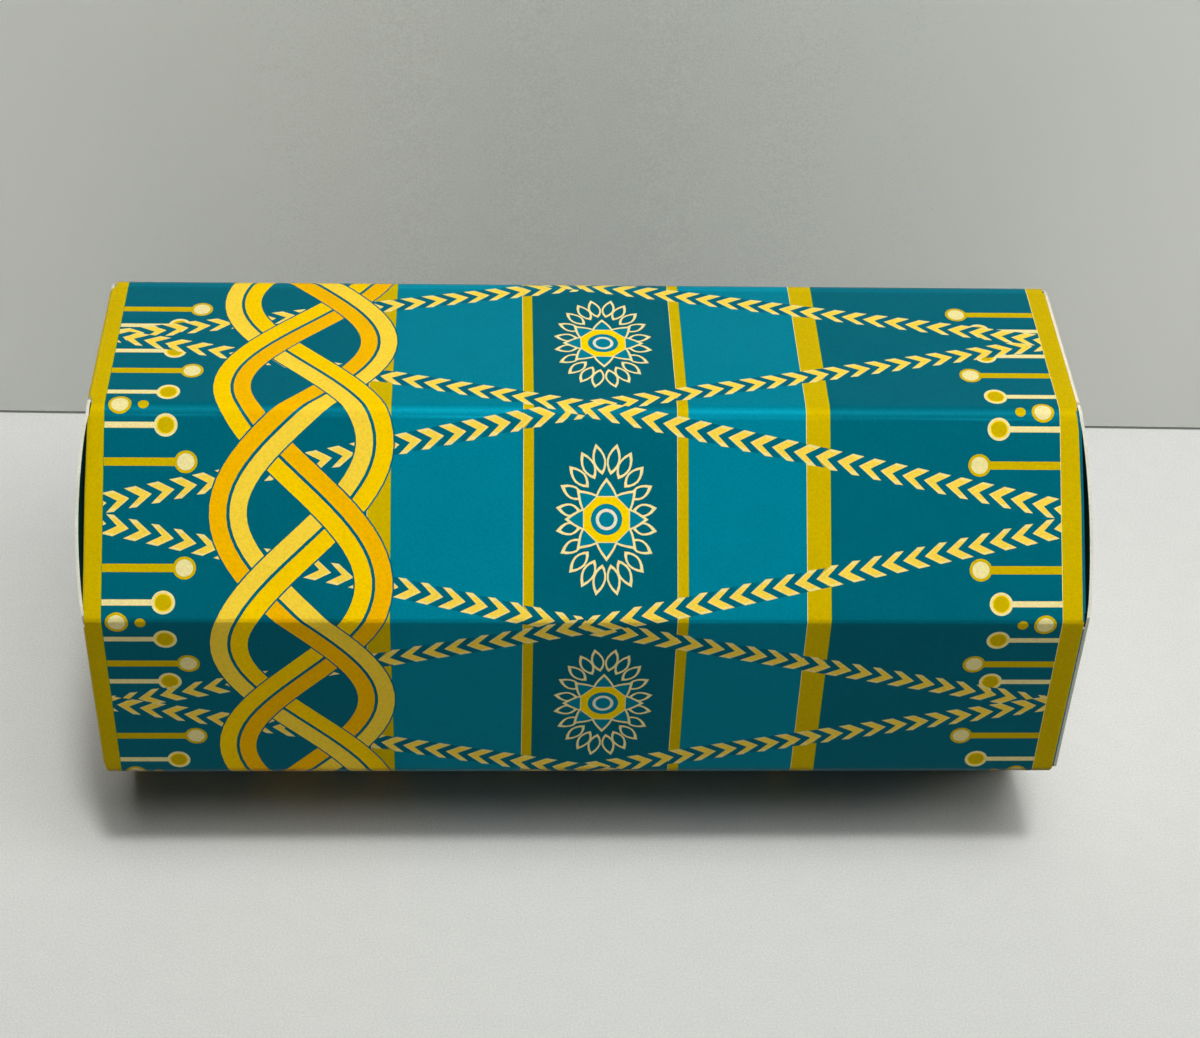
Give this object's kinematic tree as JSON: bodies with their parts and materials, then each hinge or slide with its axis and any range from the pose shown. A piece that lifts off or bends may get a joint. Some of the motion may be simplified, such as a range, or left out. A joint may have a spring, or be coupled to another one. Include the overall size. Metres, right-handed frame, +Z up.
{
  "type": "favor box",
  "caption": "Octagonal folding carton lying on one side, with a hinged tuck-in cover and folding dust flaps at each end, for small gifts or sweets.",
  "frame": {"origin": "under the middle of the carton, on the face that it rests on", "axes": "+X along the tube towards the right end, +Y towards the back, away from the viewer, +Z up"},
  "size_m": [0.1292, 0.0656, 0.0657],
  "materials": {
    "printed_card": "satin varnish over print",
    "cream_card": "satin, cream, with bare cut edges",
    "bare_board": "matte, uncoated"
  },
  "bodies": {
    "tube": {"panel_top": "printed_card", "panel_front_upper": "printed_card", "panel_front": "printed_card", "panel_front_lower": "printed_card", "panel_bottom": "printed_card", "panel_back_lower": "printed_card", "panel_back": "printed_card", "panel_back_upper": "printed_card", "glue_flap": "bare_board"},
    "left_end_cover": {"left_end_cover": "cream_card"},
    "left_tuck_flap": {"left_tuck_flap": "cream_card"},
    "left_dust_flap_front_upper": {"left_dust_flap_front_upper": "printed_card"},
    "left_dust_flap_front": {"left_dust_flap_front": "printed_card"},
    "left_dust_flap_front_lower": {"left_dust_flap_front_lower": "printed_card"},
    "left_dust_flap_back_lower": {"left_dust_flap_back_lower": "printed_card"},
    "left_dust_flap_back": {"left_dust_flap_back": "printed_card"},
    "left_dust_flap_back_upper": {"left_dust_flap_back_upper": "printed_card"},
    "right_end_cover": {"right_end_cover": "cream_card"},
    "right_tuck_flap": {"right_tuck_flap": "cream_card"},
    "right_dust_flap_front_upper": {"right_dust_flap_front_upper": "printed_card"},
    "right_dust_flap_front": {"right_dust_flap_front": "printed_card"},
    "right_dust_flap_front_lower": {"right_dust_flap_front_lower": "printed_card"},
    "right_dust_flap_back_lower": {"right_dust_flap_back_lower": "printed_card"},
    "right_dust_flap_back": {"right_dust_flap_back": "printed_card"},
    "right_dust_flap_back_upper": {"right_dust_flap_back_upper": "printed_card"}
  },
  "joints": [
    {"name": "left_cover_crease", "type": "hinge", "parent": "tube", "child": "left_end_cover", "pos_m": [-0.0633, 0, 0.06547], "axis": [0, 1, 0], "range_deg": [0, 180]},
    {"name": "left_tuck_crease", "type": "hinge", "parent": "left_end_cover", "child": "left_tuck_flap", "pos_m": [-0.0628, 0, 0.0011], "axis": [0, -1, 0], "range_deg": [0, 60]},
    {"name": "left_dust_crease_front_upper", "type": "hinge", "parent": "tube", "child": "left_dust_flap_front_upper", "pos_m": [-0.0624, -0.02272, 0.05556], "axis": [0, -0.7071, -0.7071], "range_deg": [0, 80]},
    {"name": "left_dust_crease_front", "type": "hinge", "parent": "tube", "child": "left_dust_flap_front", "pos_m": [-0.0624, -0.03213, 0.03283], "axis": [0, 0, -1], "range_deg": [0, 80]},
    {"name": "left_dust_crease_front_lower", "type": "hinge", "parent": "tube", "child": "left_dust_flap_front_lower", "pos_m": [-0.0624, -0.02272, 0.01011], "axis": [0, 0.7071, -0.7071], "range_deg": [0, 80]},
    {"name": "left_dust_crease_back_lower", "type": "hinge", "parent": "tube", "child": "left_dust_flap_back_lower", "pos_m": [-0.0624, 0.02272, 0.01011], "axis": [0, 0.7071, 0.7071], "range_deg": [0, 80]},
    {"name": "left_dust_crease_back", "type": "hinge", "parent": "tube", "child": "left_dust_flap_back", "pos_m": [-0.0624, 0.03213, 0.03283], "axis": [0, 0, 1], "range_deg": [0, 80]},
    {"name": "left_dust_crease_back_upper", "type": "hinge", "parent": "tube", "child": "left_dust_flap_back_upper", "pos_m": [-0.0624, 0.02272, 0.05556], "axis": [0, -0.7071, 0.7071], "range_deg": [0, 80]},
    {"name": "right_cover_crease", "type": "hinge", "parent": "tube", "child": "right_end_cover", "pos_m": [0.0633, 0, 0.06547], "axis": [0, -1, 0], "range_deg": [0, 180]},
    {"name": "right_tuck_crease", "type": "hinge", "parent": "right_end_cover", "child": "right_tuck_flap", "pos_m": [0.0628, 0, 0.0011], "axis": [0, 1, 0], "range_deg": [0, 60]},
    {"name": "right_dust_crease_front_upper", "type": "hinge", "parent": "tube", "child": "right_dust_flap_front_upper", "pos_m": [0.0624, -0.02272, 0.05556], "axis": [0, 0.7071, 0.7071], "range_deg": [0, 80]},
    {"name": "right_dust_crease_front", "type": "hinge", "parent": "tube", "child": "right_dust_flap_front", "pos_m": [0.0624, -0.03213, 0.03283], "axis": [0, 0, 1], "range_deg": [0, 80]},
    {"name": "right_dust_crease_front_lower", "type": "hinge", "parent": "tube", "child": "right_dust_flap_front_lower", "pos_m": [0.0624, -0.02272, 0.01011], "axis": [0, -0.7071, 0.7071], "range_deg": [0, 80]},
    {"name": "right_dust_crease_back_lower", "type": "hinge", "parent": "tube", "child": "right_dust_flap_back_lower", "pos_m": [0.0624, 0.02272, 0.01011], "axis": [0, -0.7071, -0.7071], "range_deg": [0, 80]},
    {"name": "right_dust_crease_back", "type": "hinge", "parent": "tube", "child": "right_dust_flap_back", "pos_m": [0.0624, 0.03213, 0.03283], "axis": [0, 0, -1], "range_deg": [0, 80]},
    {"name": "right_dust_crease_back_upper", "type": "hinge", "parent": "tube", "child": "right_dust_flap_back_upper", "pos_m": [0.0624, 0.02272, 0.05556], "axis": [0, 0.7071, -0.7071], "range_deg": [0, 80]}
  ]
}
